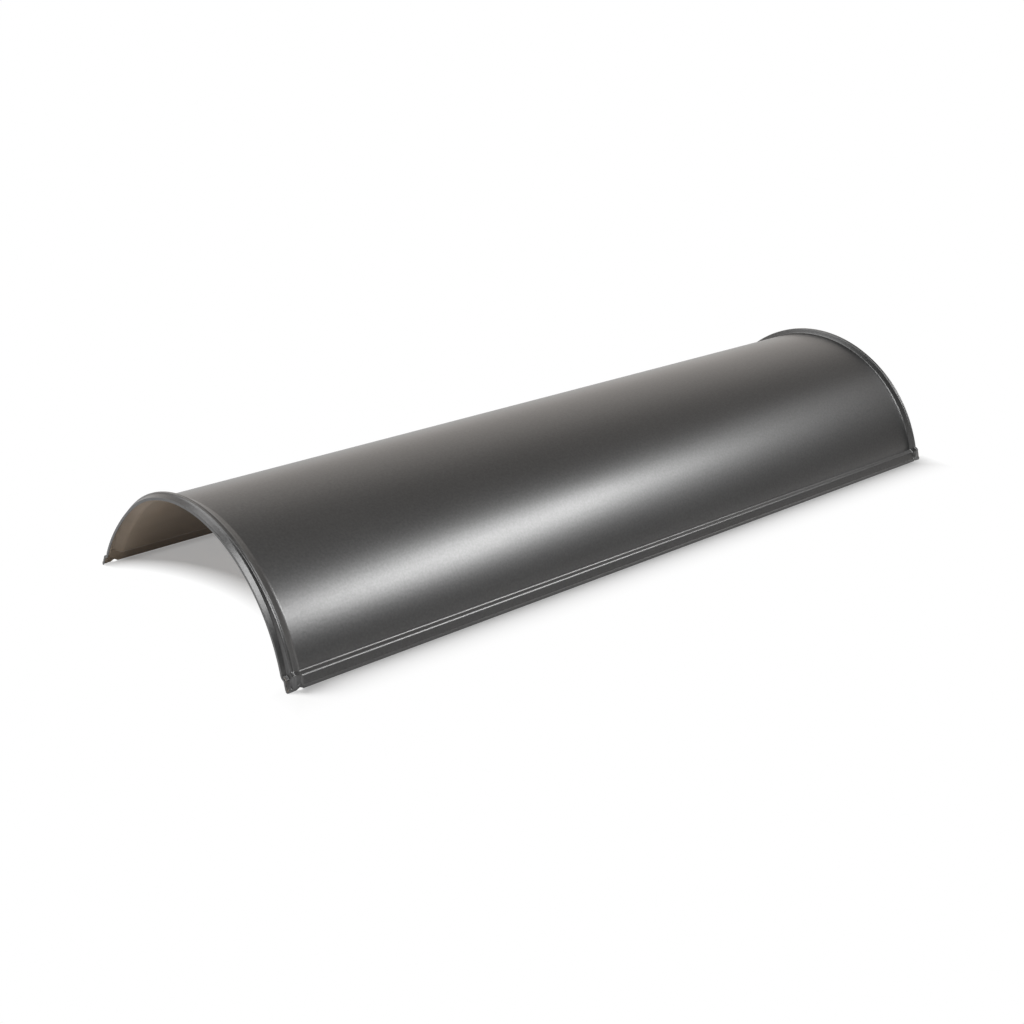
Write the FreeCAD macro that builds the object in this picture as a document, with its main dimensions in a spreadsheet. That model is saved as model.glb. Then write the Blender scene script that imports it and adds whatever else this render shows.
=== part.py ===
import FreeCAD, Part
import Sketcher

import math
import os

# Half-round ridge cap: one sheet of pre-painted steel, pressed to an arch with a narrow ledge and
# an apron along both long edges, and with a stamped collar round each end. The front collar has a
# longer slope than the rear one.
# Frame: X along the ridge, Y across it, Z up. The origin is under the middle of the cap, level
# with the lower edges of the aprons. Lengths are in millimetres.

DIMENSIONS = {
    # the whole cap
    "overall_length": 1000.0,
    "arch_radius": 163.5,
    "crown_height": 121.2,
    "sheet_thickness": 0.6,
    "bend_radius": 2.4,
    # the foot of the arch: a ledge that steps out, then the apron
    "ledge_height": 13.1,
    "ledge_width": 4.3,
    "ledge_drop": 2.1,
    "apron_spread": 4.4,
    # the turned-in lip at the end of each collar
    "lip_depth": 2.7,
    "lip_rise": 2.5,
    "lip_foot_rise": 0.4,
    # the band behind the lip; distances are from the end of the cap
    "band_end": 5.0,
    "band_rise": 5.0,
    "band_foot_rise": 0.9,
    # the bead, the highest ring of the collar
    "bead_start": 6.4,
    "bead_end": 9.4,
    "bead_rise": 6.4,
    "bead_foot_rise": 4.6,
    "bead_edge_spread": 0.3,
    "bead_edge_lift": 0.2,
    # the slope from the bead down to the plain sheet, with a notch in the apron's lower edge
    "front_collar_end": 19.3,
    "rear_collar_end": 15.6,
    "notch_lift": 2.3,
}

# shares of a slope's length: where the notch is deepest, and half of the foot's softened stretch
NOTCH_SHARE = 0.4
SLOPE_ROUNDING = 0.1

# the ends of the cap, as directions along X
FRONT = -1
REAR = 1


def dim(name):
    """A cell of the spreadsheet, as an expression writes it."""
    return f"<<Dimensions>>.{name}"


def between(first, last, share):
    """The expression of a value at a share of the way from one expression to another."""
    return f"(({first}) * {1 - share:.5f} + ({last}) * {share:.5f})"


def station(name, distance, rise="0", foot_rise="0", edge_spread="0", edge_lift="0"):
    """One cross-section of the sheet, as expressions.

    distance is from the end of the cap. rise lifts the crown, foot_rise moves the ledge out and up,
    and edge_spread and edge_lift move the apron's lower edge.
    """
    return {
        "skin": dim("sheet_thickness"),
        "name": name,
        "distance": distance,
        "rise": rise,
        "foot_rise": foot_rise,
        "edge_spread": edge_spread,
        "edge_lift": edge_lift,
    }


def slope_stations(collar_end):
    """The slope of a collar: straight from the bead down to a softened foot on the plain sheet."""
    bend_share = 1 - 2 * SLOPE_ROUNDING
    stations = [station("slope_foot", dim(collar_end))]
    for name, share in (("slope_bend", bend_share), ("notch", NOTCH_SHARE)):
        fall = 1 - share * (1 - SLOPE_ROUNDING) / bend_share
        notch_reach = (share - NOTCH_SHARE) / (1 - NOTCH_SHARE)
        stations.append(station(
            name,
            between(dim("bead_end"), dim(collar_end), share),
            between("0", dim("bead_rise"), fall),
            between("0", dim("bead_foot_rise"), fall),
            "0",
            between(dim("notch_lift"), "0", notch_reach),
        ))
    return stations


def bead_stations():
    """The two edges of the bead."""
    return [
        station(name, dim(name), dim("bead_rise"), dim("bead_foot_rise"),
                dim("bead_edge_spread"), dim("bead_edge_lift"))
        for name in ("bead_end", "bead_start")
    ]


def band_stations():
    """The band that falls from the bead to the lip, and the lip that is turned in behind it."""
    stations = [station("band_end", dim("band_end"), dim("band_rise"), dim("band_foot_rise"))]
    for name, thicknesses in (("lip_inside", 1.5), ("lip_back", 1.0), ("lip_face", 0.0)):
        distance = f"({thicknesses} * {dim('sheet_thickness')})"
        share = f"({distance} / {dim('band_end')})"
        stations.append(station(
            name,
            distance,
            f"({dim('lip_rise')} + ({dim('band_rise')} - {dim('lip_rise')}) * {share})",
            f"({dim('lip_foot_rise')} + ({dim('band_foot_rise')} - {dim('lip_foot_rise')}) * {share})",
        ))
    return stations


def with_skins(stations):
    """Gives each cross-section the depth at which the sloping sheet keeps its thickness."""
    for inner, item, outer in zip(stations, stations[1:], stations[2:]):
        gradient = (f"(({outer['rise']}) - ({inner['rise']}))"
                    f" / (({outer['distance']}) - ({inner['distance']}))")
        item["skin"] = f"{dim('sheet_thickness')} * sqrt(1 + ({gradient})^2)"
    for item in stations[-2:]:
        item["skin"] = dim("lip_depth")
    return stations


def foot_reach():
    """How far the corner between the plain arch and its ledge lies from the middle."""
    depth = f"({dim('ledge_height')} - {dim('crown_height')} + {dim('arch_radius')})"
    return f"sqrt({dim('arch_radius')}^2 - {depth}^2)"


def edge_reach():
    """How far the plain apron's lower edge lies from the middle."""
    return f"{foot_reach()} + {dim('ledge_width')} + {dim('apron_spread')}"


def section_sketch(body, end, item):
    """Draws one half of a cross-section as a closed outline, bound to the spreadsheet.

    end is FRONT or REAR, the end of the cap from which the distance is taken.
    """
    plane = next(f for f in body.Origin.OriginFeatures if f.Role == "YZ_Plane")
    sketch = body.newObject("Sketcher::SketchObject", "section_" + item["name"])
    sketch.AttachmentSupport = [(plane, "")]
    sketch.MapMode = "FlatFace"
    sketch.setExpression(
        "AttachmentOffset.Base.z",
        f"{end} * ({dim('overall_length')} / 2 - ({item['distance']}))",
    )

    bound = {
        "crown": f"{dim('crown_height')} + {item['rise']}",
        "foot_reach": f"{foot_reach()} + {item['foot_rise']}",
        "foot_height": f"{dim('ledge_height')} + {item['foot_rise']}",
        "ledge_width": dim("ledge_width"),
        "ledge_drop": dim("ledge_drop"),
        "edge_reach": f"{edge_reach()} + {item['edge_spread']}",
        "edge_height": item["edge_lift"],
        "skin": item["skin"],
        "outer_hollow": dim("bend_radius"),
        "inner_hollow": f"{dim('bend_radius')} + {item['skin']}",
        "outer_bend": f"{dim('bend_radius')} + {dim('sheet_thickness')}",
        "inner_bend": dim("bend_radius"),
    }
    size = {name: float(body.evalExpression(text)) for name, text in bound.items()}

    draw_section(sketch, size)
    for name, text in bound.items():
        sketch.setExpression("Constraints." + name, text)
    return sketch


def draw_section(sketch, size):
    """Places the outline's lines and arcs where the sizes put them, and constrains them."""
    up = FreeCAD.Vector(0, 0, 1)
    crown = FreeCAD.Vector(0, size["crown"], 0)
    foot = FreeCAD.Vector(size["foot_reach"], size["foot_height"], 0)
    nose = foot + FreeCAD.Vector(size["ledge_width"], -size["ledge_drop"], 0)
    skin = size["skin"]
    lean = math.atan2(size["edge_reach"] - nose.x, nose.y - size["edge_height"])
    edge = FreeCAD.Vector(size["edge_reach"], size["edge_height"] + skin * math.sin(lean), 0)

    sagitta = crown.y - foot.y
    radius = (foot.x ** 2 + sagitta ** 2) / (2 * sagitta)
    centre = FreeCAD.Vector(0, crown.y - radius, 0)
    ledge = (nose - foot).normalize()
    apron = (edge - nose).normalize()
    ledge_out = FreeCAD.Vector(-ledge.y, ledge.x, 0)
    apron_out = FreeCAD.Vector(-apron.y, apron.x, 0)

    def hollow_centre(bend):
        """The centre of the hollow bend, which touches the outer arch and the outer ledge."""
        base = foot + ledge_out * bend - centre
        along = base.dot(ledge)
        slide = -along + math.sqrt(along ** 2 - base.dot(base) + (radius + bend) ** 2)
        return centre + base + ledge * slide

    def nose_centre(bend, depth):
        """The centre of the bend over the nose, for an outline at a depth below the outer one."""
        turn = ledge.dot(apron)
        corner = nose - (ledge_out + apron_out) * (depth / (1 + turn))
        return corner - (ledge_out + apron_out) * (bend / (1 + turn))

    def outline(depth, hollow, bend):
        """The arch, hollow, ledge, nose and apron of one face of the sheet, from the crown down."""
        hollow_at = hollow_centre(size["outer_hollow"])
        bend_at = nose_centre(bend, depth)
        to_hollow = (hollow_at - centre).normalize()
        hollow_top = hollow_at - to_hollow * hollow
        hollow_foot = hollow_at - ledge_out * hollow
        bend_top = bend_at + ledge_out * bend
        bend_foot = bend_at + apron_out * bend
        end = edge - apron_out * depth
        arch_from = math.atan2(to_hollow.y, to_hollow.x)
        return [
            Part.ArcOfCircle(Part.Circle(centre, up, radius - depth), arch_from, math.pi / 2),
            Part.ArcOfCircle(
                Part.Circle(hollow_at, up, hollow),
                math.atan2(-to_hollow.y, -to_hollow.x) + 2 * math.pi,
                math.atan2(-ledge_out.y, -ledge_out.x) + 2 * math.pi,
            ),
            Part.LineSegment(hollow_foot, bend_top),
            Part.ArcOfCircle(
                Part.Circle(bend_at, up, bend),
                math.atan2(apron_out.y, apron_out.x),
                math.atan2(ledge_out.y, ledge_out.x),
            ),
            Part.LineSegment(bend_foot, end),
        ]

    outer = outline(0, size["outer_hollow"], size["outer_bend"])
    inner = outline(skin, size["inner_hollow"], size["inner_bend"])
    edge_line = Part.LineSegment(outer[4].EndPoint, inner[4].EndPoint)
    crown_line = Part.LineSegment(crown, crown - FreeCAD.Vector(0, skin, 0))
    sketch.addGeometry(outer + inner + [edge_line, crown_line], False)
    sketch.addGeometry([Part.Point(foot), Part.Point(nose)], True)

    arch, hollow, ledge_line, bend, apron_line = range(5)
    in_arch, in_hollow, in_ledge, in_bend, in_apron = range(5, 10)
    edge_id, crown_id, foot_id, nose_id = range(10, 14)
    start, end, middle = 1, 2, 3
    rules = []
    for a, h, l, b, p in ((arch, hollow, ledge_line, bend, apron_line),
                          (in_arch, in_hollow, in_ledge, in_bend, in_apron)):
        rules += [
            ("Tangent", a, start, h, start),
            ("Tangent", h, end, l, start),
            ("Tangent", l, end, b, end),
            ("Tangent", b, start, p, start),
            ("PointOnObject", a, end, -2),
        ]
    rules += [
        ("PointOnObject", arch, middle, -2),
        ("Coincident", arch, middle, in_arch, middle),
        ("Coincident", hollow, middle, in_hollow, middle),
        ("Coincident", arch, end, crown_id, start),
        ("Coincident", in_arch, end, crown_id, end),
        ("Coincident", apron_line, end, edge_id, start),
        ("Coincident", in_apron, end, edge_id, end),
        ("Perpendicular", apron_line, edge_id),
        ("Parallel", apron_line, in_apron),
        ("Parallel", ledge_line, in_ledge),
        ("PointOnObject", foot_id, start, arch),
        ("PointOnObject", foot_id, start, ledge_line),
        ("PointOnObject", nose_id, start, ledge_line),
        ("PointOnObject", nose_id, start, apron_line),
    ]
    for rule in rules:
        sketch.addConstraint(Sketcher.Constraint(*rule))
    sizes = [
        ("crown", ("DistanceY", -1, start, arch, end, size["crown"])),
        ("foot_reach", ("DistanceX", -1, start, foot_id, start, size["foot_reach"])),
        ("foot_height", ("DistanceY", -1, start, foot_id, start, size["foot_height"])),
        ("ledge_width", ("DistanceX", foot_id, start, nose_id, start, size["ledge_width"])),
        ("ledge_drop", ("DistanceY", nose_id, start, foot_id, start, size["ledge_drop"])),
        ("edge_reach", ("DistanceX", -1, start, apron_line, end, size["edge_reach"])),
        ("edge_height", ("DistanceY", -1, start, in_apron, end, size["edge_height"])),
        ("skin", ("Distance", edge_id, skin)),
        ("outer_hollow", ("Radius", hollow, size["outer_hollow"])),
        ("inner_hollow", ("Radius", in_hollow, size["inner_hollow"])),
        ("outer_bend", ("Radius", bend, size["outer_bend"])),
        ("inner_bend", ("Radius", in_bend, size["inner_bend"])),
    ]
    for name, rule in sizes:
        index = sketch.addConstraint(Sketcher.Constraint(*rule))
        sketch.renameConstraint(index, name)


def spreadsheet(doc):
    """The driving dimensions, one to a row, each with its alias."""
    sheet = doc.addObject("Spreadsheet::Sheet", "Dimensions")
    for row, (name, value) in enumerate(DIMENSIONS.items(), start=1):
        sheet.set(f"A{row}", name)
        sheet.set(f"B{row}", str(value))
        sheet.setAlias(f"B{row}", name)
    doc.recompute()
    return sheet


def collar(body, name, end):
    """One half of the stamped collar at an end of the cap, as a loft through its cross-sections."""
    stations = with_skins(slope_stations(name + "_end") + bead_stations() + band_stations())
    sketches = []
    for item in stations:
        item["name"] = f"{name}_{item['name']}"
        sketches.append(section_sketch(body, end, item))
    loft = body.newObject("PartDesign::AdditiveLoft", name)
    loft.Profile = sketches[0]
    loft.Sections = sketches[1:]
    loft.Ruled = True
    body.Document.recompute()


def ridge_cap(doc):
    """One side of the cap, the plain length and both collars, mirrored to the other side."""
    body = doc.addObject("PartDesign::Body", "ridge_cap")
    body.Label = "ridge_cap"
    planes = {feature.Role: feature for feature in body.Origin.OriginFeatures}

    pad = body.newObject("PartDesign::Pad", "plain_length")
    pad.Profile = section_sketch(body, FRONT, station("plain", dim("front_collar_end")))
    pad.setExpression(
        "Length",
        f"{dim('overall_length')} - {dim('front_collar_end')} - {dim('rear_collar_end')}",
    )
    doc.recompute()

    collar(body, "front_collar", FRONT)
    collar(body, "rear_collar", REAR)

    mirrored = body.newObject("PartDesign::Mirrored", "other_side")
    mirrored.TransformMode = "Whole shape"
    mirrored.MirrorPlane = (planes["XZ_Plane"], [""])
    body.Tip = mirrored
    doc.recompute()
    return body


def check(doc, parts):
    """Stops the script where an object failed or a shape is empty or not sound."""
    for item in doc.Objects:
        if "Invalid" in item.State or "Error" in item.State:
            raise RuntimeError(f"{item.Label} failed: {item.State}")
    for part in parts:
        if part.Shape.isNull() or not part.Shape.isValid():
            raise RuntimeError(f"{part.Label} has no sound shape")
        if len(part.Shape.Solids) != 1:
            raise RuntimeError(f"{part.Label} is not one solid")


def main():
    doc = FreeCAD.newDocument("roof_ridge_cap")
    spreadsheet(doc)
    parts = [ridge_cap(doc)]
    doc.recompute()
    check(doc, parts)
    os.makedirs("parts", exist_ok=True)
    for part in parts:
        part.Shape.exportStep(f"parts/{part.Label}.step")
        box = part.Shape.BoundBox
        print(f"{part.Label}: {box.XLength:.1f} x {box.YLength:.1f} x {box.ZLength:.1f} mm,"
              f" volume {part.Shape.Volume / 1000:.1f} cm3")


main()
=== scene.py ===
# %% [markdown]
# A ridge cap covers the top edge of a roof. This one is a single steel sheet that was painted flat,
# rolled to an arch and pressed in a die, so it is modelled as one sheet in the same order.
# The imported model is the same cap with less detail. It gives the place and the outer size, so it is
# loaded first and measured.

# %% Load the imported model
import math

import bmesh
import bpy
import numpy as np
from mathutils import Matrix, Vector


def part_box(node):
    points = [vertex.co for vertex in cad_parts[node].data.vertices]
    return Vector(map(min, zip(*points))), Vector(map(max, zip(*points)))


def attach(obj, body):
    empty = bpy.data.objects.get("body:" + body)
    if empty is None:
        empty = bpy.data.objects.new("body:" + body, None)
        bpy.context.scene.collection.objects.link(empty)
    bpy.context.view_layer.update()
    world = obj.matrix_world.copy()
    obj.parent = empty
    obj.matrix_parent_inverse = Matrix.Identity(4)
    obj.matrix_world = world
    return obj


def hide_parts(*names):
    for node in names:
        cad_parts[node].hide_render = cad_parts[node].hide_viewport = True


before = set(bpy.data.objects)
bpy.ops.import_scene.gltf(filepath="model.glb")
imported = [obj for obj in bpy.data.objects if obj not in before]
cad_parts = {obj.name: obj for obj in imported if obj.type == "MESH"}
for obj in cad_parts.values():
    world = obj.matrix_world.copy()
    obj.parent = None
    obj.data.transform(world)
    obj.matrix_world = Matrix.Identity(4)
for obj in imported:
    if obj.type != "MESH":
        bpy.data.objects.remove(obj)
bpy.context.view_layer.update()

MM = 0.001
cad_low, cad_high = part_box("ridge_cap")
CAP_LENGTH = cad_high.x - cad_low.x
CAP_HEIGHT = cad_high.z - cad_low.z
print(f"the cap is {CAP_LENGTH:.3f} m long and {CAP_HEIGHT:.4f} m high")

# %% [markdown]
# Every cross-section of the sheet has the same parts: an arch, a narrow ledge that steps out at its
# foot, and an apron. The apron's lowest strip stands out a little, as a hem does. The sizes are in
# metres, written as millimetres times MM. What follows from other sizes is worked out.

# %% Sizes of the section
SHEET = 0.6 * MM
ARCH_RADIUS = 163.5 * MM
BEAD_RISE = 6.4 * MM
CROWN = CAP_HEIGHT - BEAD_RISE
LEDGE_HEIGHT = 13.1 * MM
LEDGE_WIDTH = 4.3 * MM
LEDGE_DROP = 2.1 * MM
HEM_HEIGHT = 2.6 * MM
HEM_STEP = 0.5 * MM
HEM_OUT = 0.8 * MM
HEM_LEAN = 0.65 * MM
BOX_MARGIN = 0.05 * MM

ARCH_CENTRE = CROWN - ARCH_RADIUS
FOOT_ANGLE = math.acos((LEDGE_HEIGHT - ARCH_CENTRE) / ARCH_RADIUS)
FOOT_REACH = ARCH_RADIUS * math.sin(FOOT_ANGLE)
NOSE_REACH = FOOT_REACH + LEDGE_WIDTH
NOSE_HEIGHT = LEDGE_HEIGHT - LEDGE_DROP
EDGE_REACH = cad_high.y - BOX_MARGIN
HEM_REACH = EDGE_REACH - HEM_LEAN
APRON_REACH = HEM_REACH - HEM_OUT
print(f"the arch ends {FOOT_REACH / MM:.1f} mm from the middle, at {math.degrees(FOOT_ANGLE):.1f} degrees")

# %% [markdown]
# The section could be typed in as a list of points. A spin is shorter and exact: one vertex at the
# crown is turned about the arch's centre, and it leaves a row of edges behind. Extrusions of the
# last vertex then draw the ledge, the apron and its hem.

# %% Draw half of the section
ARCH_STEPS = 72
half_length = CAP_LENGTH / 2
FRONT_END = -half_length
CORNERS = (
    (NOSE_REACH, NOSE_HEIGHT),
    (APRON_REACH, HEM_HEIGHT + HEM_STEP),
    (HEM_REACH, HEM_HEIGHT),
    (EDGE_REACH, 0),
)


def half_section(sheet):
    """Draws the outer face of half a section at the front end of the cap, from the crown outwards."""
    crown = bmesh.ops.create_vert(sheet, co=(FRONT_END, 0, CROWN))["vert"]
    arch = bmesh.ops.spin(
        sheet, geom=crown, cent=(0, 0, ARCH_CENTRE), axis=(1, 0, 0), angle=-FOOT_ANGLE, steps=ARCH_STEPS,
    )
    corner = arch["geom_last"][0]
    for reach, height in CORNERS:
        corner = bmesh.ops.extrude_vert_indiv(sheet, verts=[corner])["verts"][0]
        corner.co = (FRONT_END, reach, height)
    return sheet.edges[:]


sheet = bmesh.new()
section = half_section(sheet)
print(f"half a section has {len(section)} edges")

# %% [markdown]
# The section is drawn along the cap in steps, by extruding its row of edges again and again. Long
# steps do for the plain part, where the sheet is straight, but the ends need fine ones, because the
# die gives them their rings. Cuts across one long sheet would give the same rows with more code.
# The front collar has a long slope, and the rear one a steep short one.

# %% Draw the section along the cap
FRONT_COLLAR = 20.0 * MM
REAR_COLLAR = 12.4 * MM
COLLAR_MARGIN = 1.2 * MM
RING_STEP = 0.3 * MM
PLAIN_STEPS = 24


def equal_steps(length, count):
    """A length in equal steps."""
    return [length / count] * count


front_length = FRONT_COLLAR + COLLAR_MARGIN
rear_length = REAR_COLLAR + COLLAR_MARGIN
steps = equal_steps(front_length, round(front_length / RING_STEP))
steps += equal_steps(CAP_LENGTH - front_length - rear_length, PLAIN_STEPS)
steps += equal_steps(rear_length, round(rear_length / RING_STEP))
for step in steps:
    made = bmesh.ops.extrude_edge_only(sheet, edges=section)["geom"]
    moved = {item for item in made if isinstance(item, bmesh.types.BMVert)}
    bmesh.ops.translate(sheet, verts=list(moved), vec=(step, 0, 0))
    section = [item for item in made if isinstance(item, bmesh.types.BMEdge)
               and all(corner in moved for corner in item.verts)]
print(f"{len(steps)} steps make {len(sheet.faces)} faces")

# %% [markdown]
# A press brake can't fold a sheet sharply: both folds of the ledge are round, and each of them
# shows as a thin bright line because some part of it always faces the lamp. The two rows of edges
# are beveled while they are still straight, with a width that gives each bend its radius.

# %% Round the two folds
TOLERANCE = 0.01 * MM
FOLD_SEGMENTS = 8
HOLLOW_RADIUS = 2.4 * MM
NOSE_RADIUS = HOLLOW_RADIUS + SHEET
ledge_slope = math.atan2(LEDGE_DROP, LEDGE_WIDTH)
apron_slope = math.atan2(NOSE_HEIGHT - HEM_HEIGHT - HEM_STEP, APRON_REACH - NOSE_REACH)


def round_fold(reach, height, angle, radius):
    """Bevels the edges that run along the cap at this place of the section."""
    place = Vector((0, reach, height))
    fold = [edge for edge in sheet.edges
            if all((corner.co.yz - place.yz).length < TOLERANCE for corner in edge.verts)]
    bmesh.ops.bevel(
        sheet, geom=fold, offset=radius * math.tan(angle / 2), offset_type="OFFSET", affect="EDGES",
        segments=FOLD_SEGMENTS, profile=0.5, material=-1,
    )
    print(f"rounded {len(fold)} edges to a radius of {radius / MM:.1f} mm")


round_fold(FOOT_REACH, LEDGE_HEIGHT, FOOT_ANGLE - ledge_slope, HOLLOW_RADIUS)
round_fold(NOSE_REACH, NOSE_HEIGHT, apron_slope - ledge_slope, NOSE_RADIUS)

# %% [markdown]
# The die raises a collar round each end: a slope up to a bead with two fine ribs, a band that falls
# from it, and a lip. Each place in the list below gives, from the end inwards, how far the die lifts
# the crown, how far it moves the ledge out and up, and how far it spreads and lifts the apron's
# lower edge. Between two places all of these change evenly, as they do on a real die, and a mean
# over a short stretch rounds its corners.

# %% The shape of the die
LIP = (2.5, 0.4, 0.0, 0.0)
BAND = (5.0, 0.9, 0.0, 0.0)
BEAD = (BEAD_RISE / MM, 4.6, 0.0, 0.2)
NOTCH_LIFT = 2.3
BAND_END = 5.0 * MM
BEAD_START = 6.5 * MM
BEAD_MIDDLE = 8.0 * MM
BEAD_END = 9.6 * MM
BEAD_DIP = 0.4
NOTCH_SHARE = 0.4
SLOPE_BEND = (0.8, 0.1)
DIE_ROUNDING = 0.5 * MM
DIE_SAMPLES = 9


def die(distance, collar_end):
    """What a sharp-cornered die does at a distance from the end of the cap, in millimetres."""
    if distance > BEAD_END:
        share = min((distance - BEAD_END) / (collar_end - BEAD_END), 1.0)
        fall = np.interp(share, (0, SLOPE_BEND[0], 1), (1, SLOPE_BEND[1], 0))
        lift = np.interp(share, (0, NOTCH_SHARE, SLOPE_BEND[0]), (BEAD[3], NOTCH_LIFT, 0))
        return np.array((BEAD[0] * fall, BEAD[1] * fall, 0, lift))
    places = (0, BAND_END, BEAD_START, BEAD_MIDDLE, BEAD_END)
    dip = (BEAD[0] - BEAD_DIP, BEAD[1] - BEAD_DIP, *BEAD[2:])
    return np.array([np.interp(distance, places, values) for values in zip(LIP, BAND, BEAD, dip, BEAD)])


def rounded_die(distance, collar_end):
    """The die with its corners rounded, as the mean over a short stretch."""
    shifts = np.linspace(-DIE_ROUNDING, DIE_ROUNDING, DIE_SAMPLES)
    return sum(die(max(distance + shift, 0.0), collar_end) for shift in shifts) / len(shifts) * MM


bead_rise = rounded_die(BEAD_MIDDLE, FRONT_COLLAR)[0]
print("between its two ribs the bead lifts the crown by", round(bead_rise / MM, 2), "mm")

# %% [markdown]
# Pressing moves each vertex from the plain section to the section that the die has at its place. On
# the arch a vertex keeps its share of the way from the crown to the foot, on a new circle through
# the lifted crown and the moved foot. The ledge moves as a whole, and the apron turns about it.


# %% Press the collar
def pressed(place):
    """Where the die moves a point of the plain sheet."""
    collar_end = FRONT_COLLAR if place.x < 0 else REAR_COLLAR
    rise, foot_rise, spread, lift = rounded_die(half_length - abs(place.x), collar_end)
    if place.z < NOSE_HEIGHT:
        share = (NOSE_HEIGHT - place.z) / NOSE_HEIGHT
        out = foot_rise + (spread - foot_rise) * share
        up = foot_rise + (lift - foot_rise) * share
        return Vector((place.x, place.y + out, place.z + up))
    if place.y > FOOT_REACH:
        return place + Vector((0, foot_rise, foot_rise))
    reach = FOOT_REACH + foot_rise
    sagitta = CROWN + rise - LEDGE_HEIGHT - foot_rise
    radius = (reach ** 2 + sagitta ** 2) / (2 * sagitta)
    centre = CROWN + rise - radius
    share = math.atan2(place.y, place.z - ARCH_CENTRE) / FOOT_ANGLE
    off_arch = math.hypot(place.y, place.z - ARCH_CENTRE) - ARCH_RADIUS
    angle = share * math.asin(reach / radius)
    radius += off_arch
    return Vector((place.x, radius * math.sin(angle), centre + radius * math.cos(angle)))


for corner in sheet.verts:
    corner.co = pressed(corner.co)
print(f"the crown of the bead is at {max(corner.co.z for corner in sheet.verts) / MM:.1f} mm")

# %% [markdown]
# The last ring at each end is turned in to a lip, so that no raw edge shows there. A thicker sheet
# would look much the same from the front, but not from inside. So the ring is extruded and moved
# inwards square to the surface, and its corner is rounded by a bevel. What would reach below the
# apron's edge is cut off.

# %% Turn in the lip
LIP_DEPTH = 2.7 * MM
LIP_ROUNDING = 0.9 * MM
LIP_SEGMENTS = 4
PLACE_DIGITS = 7
MERGE_DISTANCE = 0.001 * MM
sheet.normal_update()
rim = [edge for edge in sheet.edges
       if edge.is_boundary and all(abs(corner.co.x) > half_length - TOLERANCE for corner in edge.verts)]
inward = {}
for corner in {corner for edge in rim for corner in edge.verts}:
    normal = Vector((0, corner.normal.y, corner.normal.z)).normalized()
    side = -1 if normal.dot(corner.co) > 0 else 1
    inward[corner.co.to_tuple(PLACE_DIGITS)] = normal * side
turned = bmesh.ops.extrude_edge_only(sheet, edges=rim)["geom"]
for item in turned:
    if isinstance(item, bmesh.types.BMVert):
        item.co += inward[item.co.to_tuple(PLACE_DIGITS)] * LIP_DEPTH
bmesh.ops.bevel(
    sheet, geom=rim, offset=LIP_ROUNDING, offset_type="OFFSET", affect="EDGES",
    segments=LIP_SEGMENTS, profile=0.5, material=-1,
)
bmesh.ops.bisect_plane(
    sheet, geom=sheet.verts[:] + sheet.edges[:] + sheet.faces[:], dist=MERGE_DISTANCE,
    plane_co=(0, 0, 0), plane_no=(0, 0, -1), clear_outer=True,
)
print(f"turned in {len(rim)} edges by {LIP_DEPTH / MM:.1f} mm")

# %% [markdown]
# The other side is still missing. A mirror makes it, and the doubles on the seam are merged. A
# mirror turns faces inside out, so the normals are worked out again before the sheet gets its
# thickness.

# %% Mirror the half into a whole cap
everything = sheet.verts[:] + sheet.edges[:] + sheet.faces[:]
bmesh.ops.mirror(sheet, geom=everything, matrix=Matrix.Identity(4), merge_dist=MERGE_DISTANCE, axis="Y")
bmesh.ops.remove_doubles(sheet, verts=sheet.verts, dist=MERGE_DISTANCE)
bmesh.ops.recalc_face_normals(sheet, faces=sheet.faces)
top = max(sheet.faces, key=lambda face: face.calc_center_median().z)
if top.normal.z < 0:
    bmesh.ops.reverse_faces(sheet, faces=sheet.faces)
print(f"the whole sheet has {len(sheet.faces)} faces")

# %% [markdown]
# A thin sheet doesn't stay perfectly round in handling. The left flank of the front collar is pushed
# in by a little over two millimetres, which fades out over the sheet behind it. A bend that starts
# and ends softly looks right with a cosine, so one is used round the arch and one along it.

# %% Push in the left flank of the front collar
DENT_DEPTH = 2.4 * MM
DENT_ANGLE = math.radians(50)
DENT_SPREAD = math.radians(26)
DENT_FADE = (20 * MM, 60 * MM)


def push_depth(place):
    """How far a point is pushed in towards the arch's centre."""
    angle = math.atan2(place.y, place.z - ARCH_CENTRE)
    round_share = min(abs(angle - DENT_ANGLE) / DENT_SPREAD, 1)
    along_share = np.interp(place.x - FRONT_END, DENT_FADE, (0, 1))
    return DENT_DEPTH * math.cos(math.pi / 2 * round_share) ** 2 * (1 + math.cos(math.pi * along_share)) / 2


for corner in sheet.verts:
    to_centre = Vector((0, -corner.co.y, ARCH_CENTRE - corner.co.z)).normalized()
    corner.co += to_centre * push_depth(corner.co)
print("the flank is pushed in by up to", round(DENT_DEPTH / MM, 1), "mm")

# %% [markdown]
# The outside has a dark grey metallic paint, baked on in a coating line. It has a soft sheen, a fine
# grain from the metal flakes, and the slight waviness that painters call orange peel. A picture of
# paint wrapped round the cap could show them too, but it would have a seam and go soft close up.
# Noise patterns on the piece's own coordinates have neither fault, so every finish is made of them.


# %% A material to start from, and relief that is too fine for the mesh
def new_material(name):
    """A new material, with its nodes, its links and the shader that every finish sets."""
    material = bpy.data.materials.new(name)
    material.use_nodes = True
    nodes = material.node_tree.nodes
    return material, nodes, material.node_tree.links, nodes["Principled BSDF"]


def bump(nodes, links, shader, layers):
    """Raises the surface by noise patterns, each with its height in metres."""
    normal = None
    for value, height in layers:
        node = nodes.new("ShaderNodeBump")
        node.inputs["Strength"].default_value = 1.0
        node.inputs["Distance"].default_value = height
        links.new(value, node.inputs["Height"])
        if normal:
            links.new(normal, node.inputs["Normal"])
        normal = node.outputs["Normal"]
    links.new(normal, shader.inputs["Normal"])


print("materials that came with the packed model:", len(bpy.data.materials))

# %% A noise pattern, and what is made of it
NOISE_RANGE = (0.3, 0.7)


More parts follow.
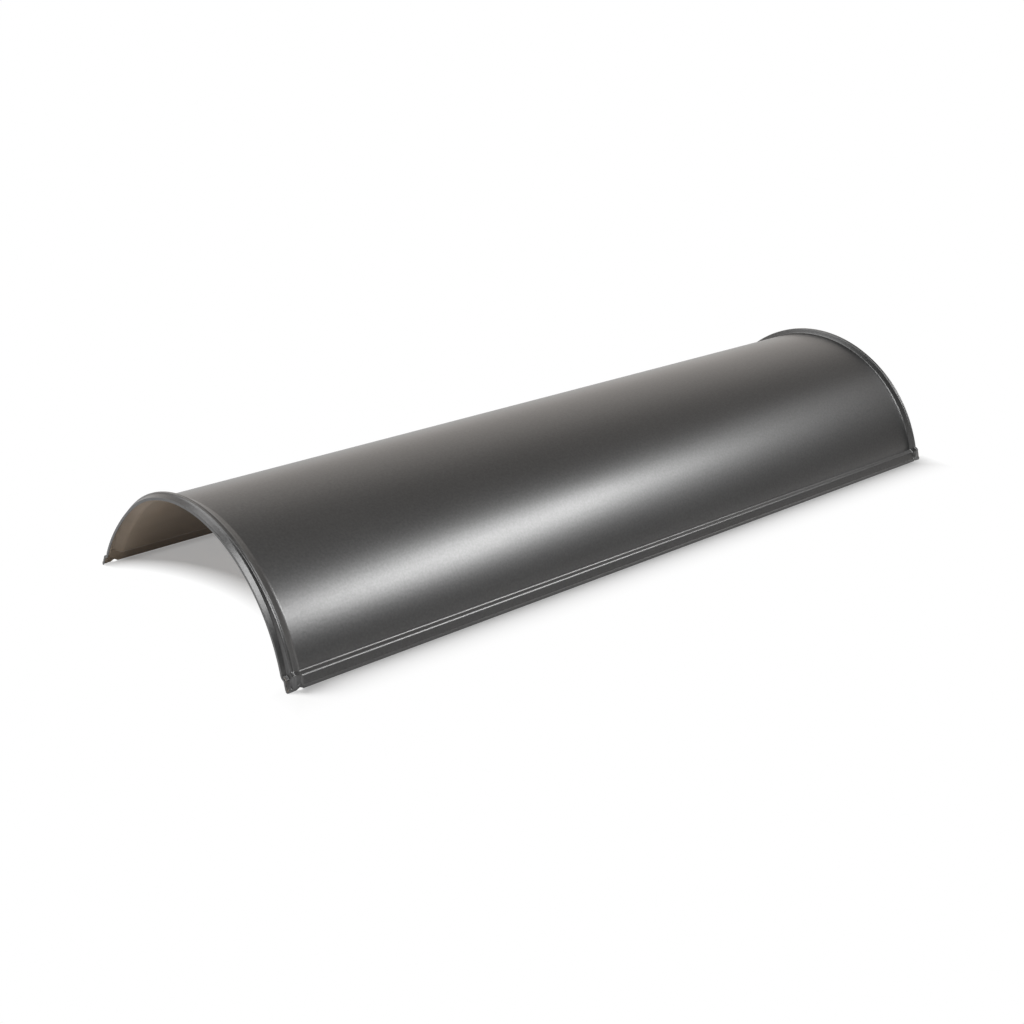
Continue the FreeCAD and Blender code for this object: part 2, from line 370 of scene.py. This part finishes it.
def noise(nodes, links, scale, detail=2, stretch=(1, 1, 1)):
    """A noise pattern that is fixed to the piece, and may be stretched along its axes."""
    place = nodes.new("ShaderNodeTexCoord")
    mapping = nodes.new("ShaderNodeMapping")
    mapping.inputs["Scale"].default_value = stretch
    pattern = nodes.new("ShaderNodeTexNoise")
    pattern.inputs["Scale"].default_value = scale
    pattern.inputs["Detail"].default_value = detail
    links.new(place.outputs["Object"], mapping.inputs["Vector"])
    links.new(mapping.outputs["Vector"], pattern.inputs["Vector"])
    return pattern.outputs["Fac"]


def map_range(nodes, links, value, start, end=(0, 1), kind="LINEAR"):
    """Takes a value from one range to another, and holds it at both ends."""
    node = nodes.new("ShaderNodeMapRange")
    node.interpolation_type = kind
    for name, number in zip(("From Min", "From Max", "To Min", "To Max"), (*start, *end)):
        node.inputs[name].default_value = number
    links.new(value, node.inputs["Value"])
    return node.outputs["Result"]


def shades(nodes, links, value, dark, light):
    """Turns a noise pattern into a colour between two colours."""
    tone = nodes.new("ShaderNodeValToRGB")
    for stop, position, colour in zip(tone.color_ramp.elements, NOISE_RANGE, (dark, light)):
        stop.position = position
        stop.color = (*colour, 1)
    links.new(value, tone.inputs["Fac"])
    return tone.outputs["Color"]


print("noise patterns are used from", NOISE_RANGE[0], "to", NOISE_RANGE[1])

# %% The paint on the outside
PAINT_DARK = (0.114, 0.114, 0.114)
PAINT_LIGHT = (0.136, 0.136, 0.136)
PAINT_METALLIC = 0.9
PAINT_ROUGHNESS = (0.34, 0.362)
FLAKE_SCALE = 420
FLAKE_HEIGHT = 0.012 * MM
PEEL_SCALE = 260
PEEL_HEIGHT = 0.035 * MM
HANDLING_SCALE = 9
HANDLING_STRETCH = (0.5, 1, 1)


def outer_paint():
    """Dark grey metallic paint, a little duller where it was handled."""
    material, nodes, links, shader = new_material("outer_paint")
    flakes = noise(nodes, links, FLAKE_SCALE)
    peel = noise(nodes, links, PEEL_SCALE)
    handling = noise(nodes, links, HANDLING_SCALE, detail=3, stretch=HANDLING_STRETCH)
    roughness = map_range(nodes, links, handling, NOISE_RANGE, PAINT_ROUGHNESS)
    links.new(shades(nodes, links, flakes, PAINT_DARK, PAINT_LIGHT), shader.inputs["Base Color"])
    links.new(roughness, shader.inputs["Roughness"])
    shader.inputs["Metallic"].default_value = PAINT_METALLIC
    bump(nodes, links, shader, ((flakes, FLAKE_HEIGHT), (peel, PEEL_HEIGHT)))
    return material


paint = outer_paint()
print(f"made {paint.name}, with orange peel {PEEL_HEIGHT / MM} mm high")

# %% [markdown]
# The inside only has a thin backing coat. It is duller and browner, and it was rolled on, so it is a
# little streaky along the cap. One noise pattern that is stretched along the cap gives the streaks
# their colour and their relief, so that the two agree.

# %% The backing coat on the inside
COAT_DARK = (0.190, 0.145, 0.100)
COAT_LIGHT = (0.230, 0.175, 0.125)
COAT_ROUGHNESS = (0.44, 0.56)
STREAK_SCALE = 60
STREAK_STRETCH = (0.08, 1, 1)
STREAK_HEIGHT = 0.02 * MM
CLOUD_SCALE = 14
COAT_GRAIN_SCALE = 700
COAT_GRAIN_HEIGHT = 0.01 * MM


def backing_coat():
    """Thin brownish grey coat, duller than the paint outside."""
    material, nodes, links, shader = new_material("backing_coat")
    streaks = noise(nodes, links, STREAK_SCALE, detail=4, stretch=STREAK_STRETCH)
    cloud = noise(nodes, links, CLOUD_SCALE, detail=3)
    grain = noise(nodes, links, COAT_GRAIN_SCALE)
    roughness = map_range(nodes, links, cloud, NOISE_RANGE, COAT_ROUGHNESS)
    links.new(shades(nodes, links, streaks, COAT_DARK, COAT_LIGHT), shader.inputs["Base Color"])
    links.new(roughness, shader.inputs["Roughness"])
    bump(nodes, links, shader, ((streaks, STREAK_HEIGHT), (grain, COAT_GRAIN_HEIGHT)))
    return material


coat = backing_coat()
print(f"made {coat.name}, with a roughness of {COAT_ROUGHNESS[0]} to {COAT_ROUGHNESS[1]}")

# %% [markdown]
# The cut edges show the steel with its zinc coat. Their dark, dull colour is painted shade: it stands
# for the shadow where the lifted edge meets the table, and every cut edge has it. The shears scored
# them across the sheet, and a noise pattern that is stretched upwards stands for the scores.

# %% The cut edges
# painted shade: the cut edges are coloured dark for the shadow where they meet the table
EDGE_PAINTED_SHADE_DARK = (0.05, 0.05, 0.052)
EDGE_PAINTED_SHADE_LIGHT = (0.09, 0.09, 0.092)
ZINC_METALLIC = 0.6
ZINC_ROUGHNESS = (0.38, 0.52)
SCORE_SCALE = 900
SCORE_STRETCH = (1, 1, 0.15)
SCORE_HEIGHT = 0.02 * MM


def cut_edge():
    """The steel at the sheet's cut edges, coloured dark as painted shade where it meets the table."""
    material, nodes, links, shader = new_material("cut_edge")
    scores = noise(nodes, links, SCORE_SCALE, detail=3, stretch=SCORE_STRETCH)
    roughness = map_range(nodes, links, scores, NOISE_RANGE, ZINC_ROUGHNESS)
    links.new(shades(nodes, links, scores, EDGE_PAINTED_SHADE_DARK, EDGE_PAINTED_SHADE_LIGHT), shader.inputs["Base Color"])
    links.new(roughness, shader.inputs["Roughness"])
    shader.inputs["Metallic"].default_value = ZINC_METALLIC
    bump(nodes, links, shader, ((scores, SCORE_HEIGHT),))
    return material


zinc = cut_edge()
print(f"made {zinc.name}, with scores {SCORE_HEIGHT / MM} mm high")

# %% [markdown]
# So far the sheet has no thickness. It gets it on the inner side, so that the outer face stays where
# it was drawn. The bmesh operator for this doesn't give the new faces other materials. The Solidify
# modifier does: the inner face gets the next finish of the list and the cut edges the one after, so
# all three are on the mesh before the modifier is applied.

# %% Give the sheet its finishes and its thickness
sheet_mesh = bpy.data.meshes.new("ridge_cap_sheet")
sheet.to_mesh(sheet_mesh)
sheet.free()
for finish in (paint, coat, zinc):
    sheet_mesh.materials.append(finish)
cap = bpy.data.objects.new("ridge_cap_sheet", sheet_mesh)
bpy.context.scene.collection.objects.link(cap)
thickness = cap.modifiers.new("sheet_thickness", "SOLIDIFY")
thickness.thickness = SHEET
thickness.offset = -1
thickness.material_offset = 1
thickness.material_offset_rim = 2
bpy.context.view_layer.update()
solid = bpy.data.meshes.new_from_object(cap.evaluated_get(bpy.context.evaluated_depsgraph_get()))
cap.modifiers.clear()
cap.data = solid
print(f"the cap has {len(solid.polygons)} faces and {[finish.name for finish in solid.materials]}")

# %% [markdown]
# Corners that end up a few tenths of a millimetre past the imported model's box are moved back to it,
# because the cap may not grow. The faces are shaded smoothly, so that the arch looks round. More
# faces would do that too, but the sheet's cut edges have to stay sharp, and an angle tells the two
# apart.

# %% Finish the piece
SHARP_ANGLE = math.radians(35)
for corner in solid.vertices:
    corner.co = [min(max(value, low), high) for value, low, high in zip(corner.co, cad_low, cad_high)]
for face in solid.polygons:
    face.use_smooth = True
solid.set_sharp_from_angle(angle=SHARP_ANGLE)
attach(cap, "root")
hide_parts("ridge_cap")
print(f"its top is at {max(corner.co.z for corner in solid.vertices) / MM:.1f} mm")

# %% [markdown]
# The cap stands on a white table in a studio. A plain square is enough for its top, as long as its
# edges are far outside the picture.

# %% The table
TABLE_HALF = 20.0
floor_mesh = bpy.data.meshes.new("floor")
floor_sheet = bmesh.new()
bmesh.ops.create_grid(floor_sheet, x_segments=1, y_segments=1, size=TABLE_HALF)
floor_sheet.to_mesh(floor_mesh)
floor_sheet.free()
floor = bpy.data.objects.new("floor", floor_mesh)
bpy.context.scene.collection.objects.link(floor)
print("the table reaches", TABLE_HALF, "m to each side")

# %% [markdown]
# Round the cap the table shows its own light and shade. Further away a product photo has it blown
# out to plain white. More light would do that too, but the table would throw it back onto the cap,
# so its finish goes over to an even white glow there. Only the camera, reflections and rays through
# glass see that glow. For all other light the table is plain white paper. At the open ends the glow
# is painted light: it reaches in under the arch, and the further the higher the arch is. Under the
# arch a little more glow than beside it is painted light too, which lifts the shade there.

# %% How much the table glows at a place, with painted light under the arch
GLOW_OUTSIDE = 0.22
# painted light: the glow under the arch is higher than beside it, which lifts the shade there
PAINTED_LIGHT_UNDER = 0.33
UNDER_ARCH = (148 * MM, 162 * MM)
SIDE_GLOW = (135 * MM, 210 * MM)
# painted light: how far the glow reaches in under the arch at its open ends
MOUTH_PAINTED_LIGHT = (57 * MM, -3 * MM)
MOUTH_SHARE = 0.68
MOUTH_MARGIN = 14 * MM


def math_node(nodes, links, operation, *values):
    """A maths node whose inputs are numbers or the outputs of other nodes."""
    node = nodes.new("ShaderNodeMath")
    node.operation = operation
    for socket, value in zip(node.inputs, values):
        if isinstance(value, (int, float)):
            socket.default_value = value
        else:
            links.new(value, socket)
    return node.outputs["Value"]


def glow_with_painted_light(nodes, links):
    """The share of the glow: the least next to the cap, painted light under the arch, 1 further out."""
    place = nodes.new("ShaderNodeTexCoord")
    parts = nodes.new("ShaderNodeSeparateXYZ")
    links.new(place.outputs["Object"], parts.inputs["Vector"])
    out_x = math_node(nodes, links, "ABSOLUTE", parts.outputs["X"])
    out_y = math_node(nodes, links, "ABSOLUTE", parts.outputs["Y"])
    square = math_node(nodes, links, "MULTIPLY", out_y, out_y)
    left = math_node(nodes, links, "SUBTRACT", ARCH_RADIUS ** 2, square)
    root = math_node(nodes, links, "SQRT", math_node(nodes, links, "MAXIMUM", left, 0))
    height = math_node(nodes, links, "MAXIMUM", math_node(nodes, links, "ADD", root, ARCH_CENTRE), 0)
    # painted light: at the open ends the glow reaches in under the arch, the further the higher the arch is
    reach = math_node(nodes, links, "MULTIPLY_ADD", height, MOUTH_SHARE, -MOUTH_MARGIN)
    inside = math_node(nodes, links, "SUBTRACT", half_length, out_x)
    painted_light_in_mouth = map_range(nodes, links, math_node(nodes, links, "SUBTRACT", inside, reach), MOUTH_PAINTED_LIGHT)
    side = map_range(nodes, links, out_y, SIDE_GLOW, kind="SMOOTHSTEP")
    under = map_range(nodes, links, out_y, UNDER_ARCH, kind="SMOOTHSTEP")
    # painted light: under the arch the least glow is higher than beside it, which lifts the shade there
    least = math_node(nodes, links, "MULTIPLY_ADD", under, GLOW_OUTSIDE - PAINTED_LIGHT_UNDER, PAINTED_LIGHT_UNDER)
    return math_node(nodes, links, "MAXIMUM", math_node(nodes, links, "MAXIMUM", painted_light_in_mouth, side), least)


print("next to the cap the table glows at", GLOW_OUTSIDE, "and under it at", PAINTED_LIGHT_UNDER)

# %% The table's finish
TABLE_WHITE = (0.9, 0.9, 0.9)
TABLE_ROUGHNESS = 0.9


def white_table():
    """White paper near the cap, plain white further out, and painted light in under the arch's ends."""
    material, nodes, links, shader = new_material("floor_white")
    shader.inputs["Base Color"].default_value = (*TABLE_WHITE, 1)
    shader.inputs["Roughness"].default_value = TABLE_ROUGHNESS
    path = nodes.new("ShaderNodeLightPath")
    seen = math_node(nodes, links, "ADD", path.outputs["Is Camera Ray"], path.outputs["Is Glossy Ray"])
    seen = math_node(nodes, links, "ADD", seen, path.outputs["Is Transmission Ray"])
    seen = math_node(nodes, links, "MINIMUM", seen, 1)
    glow = nodes.new("ShaderNodeEmission")
    blend = nodes.new("ShaderNodeMixShader")
    links.new(math_node(nodes, links, "MULTIPLY", seen, glow_with_painted_light(nodes, links)), blend.inputs["Fac"])
    links.new(shader.outputs["BSDF"], blend.inputs[1])
    links.new(glow.outputs["Emission"], blend.inputs[2])
    links.new(blend.outputs["Shader"], nodes["Material Output"].inputs["Surface"])
    return material


floor.data.materials.append(white_table())
print("the table is plain white from", round(SIDE_GLOW[1] / MM), "mm to each side")

# %% [markdown]
# Glossy paint shows whatever stands round it, so a studio builds a tent round such a piece. This one
# is bright at the back and along the horizon there, dim overhead and dark in front, and a strip
# just above the table is lit all round. That gives the grey of the sheet its slow changes from the
# foot to the crown. A world with the same pattern would do as well, but then views from other sides
# would have its dark part for a background. The camera looks through the tent, as it does through
# the lamps, and sees a plain white room from every side.

# %% The light of the tent
BACKDROP_WAY = (0.6, 0.8, 0.0)
BACKDROP = (0.54, 0.9)
HORIZON = (0.05, 0.22)
HORIZON_SIDE = (0, 0.5)
LIT_SIDE = (-0.05, 0.35)
DIM_LEVEL = 0.23
LOW_STRIP = (0.03, 0.12)
STRIP_LEVEL = 0.6


def tent_light(nodes, links):
    """How bright the tent is in each direction, as seen from the middle of the cap."""
    place = nodes.new("ShaderNodeTexCoord")
    way = nodes.new("ShaderNodeVectorMath")
    way.operation = "NORMALIZE"
    links.new(place.outputs["Object"], way.inputs[0])
    parts = nodes.new("ShaderNodeSeparateXYZ")
    links.new(way.outputs["Vector"], parts.inputs["Vector"])
    facing = nodes.new("ShaderNodeVectorMath")
    facing.operation = "DOT_PRODUCT"
    facing.inputs[1].default_value = BACKDROP_WAY
    links.new(way.outputs["Vector"], facing.inputs[0])
    to_back, up = facing.outputs["Value"], parts.outputs["Z"]
    backdrop = map_range(nodes, links, to_back, BACKDROP, kind="SMOOTHSTEP")
    behind = map_range(nodes, links, to_back, HORIZON_SIDE, kind="SMOOTHSTEP")
    near_horizon = map_range(nodes, links, up, HORIZON, (1, 0), kind="SMOOTHSTEP")
    horizon = math_node(nodes, links, "MULTIPLY", near_horizon, behind)
    bright = math_node(nodes, links, "MAXIMUM", backdrop, horizon)
    lit = map_range(nodes, links, to_back, LIT_SIDE, kind="SMOOTHSTEP")
    low = map_range(nodes, links, up, LOW_STRIP, (1, 0), kind="SMOOTHSTEP")
    dim = math_node(nodes, links, "MULTIPLY", math_node(nodes, links, "MAXIMUM", lit, low), DIM_LEVEL)
    rest = math_node(nodes, links, "MULTIPLY_ADD", low, STRIP_LEVEL, dim)
    return math_node(nodes, links, "MULTIPLY_ADD", bright, 1 - DIM_LEVEL, rest)


print("the tent's dim part has the level", DIM_LEVEL)

# %% Hang the tent
TENT_RADIUS = 18.0
TENT_SEGMENTS = 48
TENT_RINGS = 24
TENT_COLOUR = (0.99, 0.935, 0.885)


def tent_cloth():
    """Cloth that only glows."""
    material, nodes, links, shader = new_material("tent_cloth")
    nodes.remove(shader)
    glow = nodes.new("ShaderNodeEmission")
    glow.inputs["Color"].default_value = (*TENT_COLOUR, 1)
    links.new(tent_light(nodes, links), glow.inputs["Strength"])
    links.new(glow.outputs["Emission"], nodes["Material Output"].inputs["Surface"])
    return material


tent_sheet = bmesh.new()
bmesh.ops.create_uvsphere(tent_sheet, u_segments=TENT_SEGMENTS, v_segments=TENT_RINGS, radius=TENT_RADIUS)
tent_mesh = bpy.data.meshes.new("tent")
tent_sheet.to_mesh(tent_mesh)
tent_sheet.free()
tent_mesh.materials.append(tent_cloth())
tent = bpy.data.objects.new("tent", tent_mesh)
bpy.context.scene.collection.objects.link(tent)
tent.visible_camera = False
print("the tent is", TENT_RADIUS, "m away")

# %% The white room
room = bpy.data.worlds.new("white_room")
room.use_nodes = True
room.node_tree.nodes["Background"].inputs["Color"].default_value = (1, 1, 1, 1)
bpy.context.scene.world = room
print("the world is", room.name)

# %% [markdown]
# The lamps are soft boxes, as in a product studio: a small bare lamp would make hard bright dots.
# A long narrow one from the right makes the bright streak along the arch, and a small one further
# off widens the streak's far half. A large one overhead makes the bright patch on the collar, and
# one fills in from behind on the left. All four are kept off the table, which would clip. The table
# has a lamp of its own, also from behind on the left, so that the shadow falls to the front.

# %% Hang the lamps
MIDDLE = (0, 0, 0)
BACK_LEFT = (-2.25, 2.55, 3.0)


def softbox(name, place, target, size, power):
    """A rectangular lamp that faces a target and isn't seen itself."""
    light = bpy.data.lights.new(name, "AREA")
    light.shape = "RECTANGLE"
    light.size, light.size_y = size
    light.energy = power
    lamp = bpy.data.objects.new(name, light)
    lamp.location = place
    lamp.rotation_euler = (Vector(place) - Vector(target)).to_track_quat("Z", "Y").to_euler()
    lamp.visible_camera = False
    bpy.context.scene.collection.objects.link(lamp)
    return lamp


def only_for(receiver, lamp):
    """Lets a lamp light one object only."""
    lit = bpy.data.collections.new("lit_by_" + lamp.name)
    lit.objects.link(receiver)
    lamp.light_linking.receiver_collection = lit


only_for(cap, softbox("key", (0.869, -1.167, 1.185), (-0.3, -0.125, 0.06), size=(1.05, 0.30), power=17.7))
only_for(cap, softbox("shoulder", (1.55, -0.545, 1.19), (0.2, -0.105, 0.083), size=(0.6, 0.25), power=0.8))
only_for(cap, softbox("top", (-1.05, -1.2, 2.55), MIDDLE, size=(2.0, 2.2), power=69.0))
only_for(cap, softbox("back", BACK_LEFT, MIDDLE, size=(3.0, 3.6), power=80.0))
only_for(floor, softbox("table_lamp", BACK_LEFT, MIDDLE, size=(1.5, 2.1), power=267.0))
print("lamps:", [lamp.name for lamp in bpy.data.lights])

# %% [markdown]
# A camera can be placed by eye, but then no edge of the cap lines up with the photo's. This one was
# fitted: its place, its three turns and its focal length were changed until the cap's straight
# edges, arcs and corners fell on those in the photo. The focal length is in pixels of the square
# picture, and the lens follows from it.

# %% The camera
CAMERA_PLACE = Vector((-1.24298, -1.18844, 0.75071))
HEADING = math.radians(45.46)
PITCH = math.radians(23.937)
ROLL = math.radians(4.12)
FOCAL_PIXELS = 1608.9
PICTURE_PIXELS = 1024
SENSOR_WIDTH = 36
camera_data = bpy.data.cameras.new("camera")
camera_data.sensor_width = SENSOR_WIDTH
camera_data.lens = SENSOR_WIDTH * FOCAL_PIXELS / PICTURE_PIXELS
camera = bpy.data.objects.new("camera", camera_data)
turn = Matrix.Rotation(HEADING - math.pi / 2, 4, "Z") @ Matrix.Rotation(math.pi / 2 - PITCH, 4, "X")
camera.matrix_world = Matrix.Translation(CAMERA_PLACE) @ turn @ Matrix.Rotation(ROLL, 4, "Z")
bpy.context.scene.collection.objects.link(camera)
bpy.context.scene.camera = camera
bpy.context.scene.view_settings.view_transform = "Standard"
print(f"the camera's lens is {camera_data.lens:.2f} mm")
